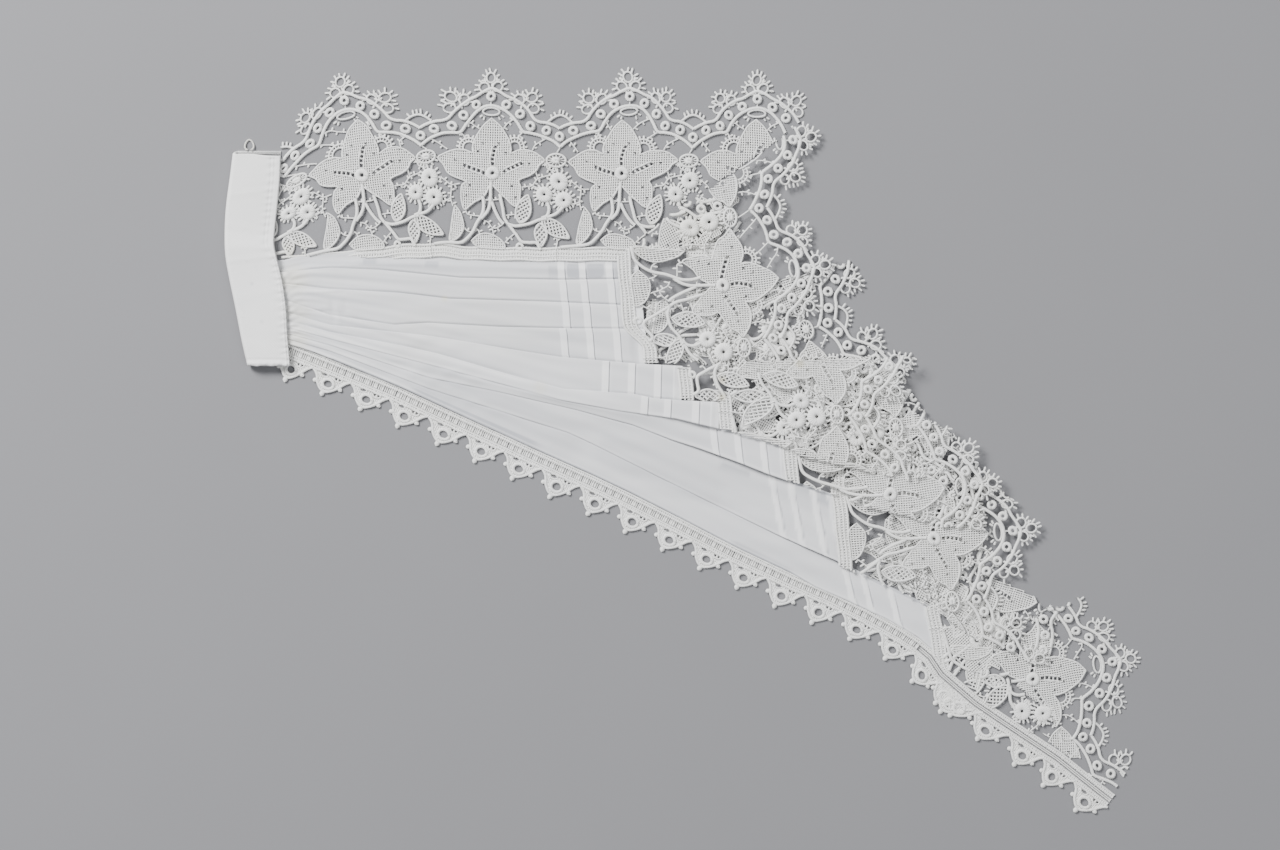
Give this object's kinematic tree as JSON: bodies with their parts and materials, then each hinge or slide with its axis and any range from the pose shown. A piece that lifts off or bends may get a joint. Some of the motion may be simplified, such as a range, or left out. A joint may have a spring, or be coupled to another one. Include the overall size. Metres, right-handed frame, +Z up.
{
  "type": "jabot",
  "caption": "Pleated lawn jabot laid flat, with a folded neckband, a deep crochet lace border at its top and hem, and a narrow picot edging.",
  "frame": {"origin": "middle of the jabot's bounding box, on the surface that it is laid on", "axes": "+X along the jabot's length, away from the neckband; +Y towards the lace along the top; +Z up, out of the surface"},
  "size_m": [0.3316, 0.2681, 0.0065],
  "materials": {
    "linen": "plain woven linen, matt",
    "thread": "twisted sewing thread",
    "lawn": "fine cotton lawn, matt",
    "lace_top": "crochet cotton, matt",
    "lace_pleat_1": "crochet cotton, matt",
    "lace_pleat_2": "crochet cotton, matt",
    "lace_pleat_3": "crochet cotton, matt",
    "lace_pleat_4": "crochet cotton, matt",
    "lace_pleat_5": "crochet cotton, matt",
    "lace_pleat_6": "crochet cotton, matt",
    "lace_pleat_7": "crochet cotton, matt",
    "narrow_edging": "crochet cotton, matt"
  },
  "bodies": {
    "root": {"neckband": "linen", "thread_loop": "thread", "lawn_panel": "lawn", "lace_top": "lace_top", "lace_pleat_1": "lace_pleat_1", "lace_pleat_2": "lace_pleat_2", "lace_pleat_3": "lace_pleat_3", "lace_pleat_4": "lace_pleat_4", "lace_pleat_5": "lace_pleat_5", "lace_pleat_6": "lace_pleat_6", "lace_pleat_7": "lace_pleat_7", "narrow_edging": "narrow_edging"}
  },
  "joints": []
}
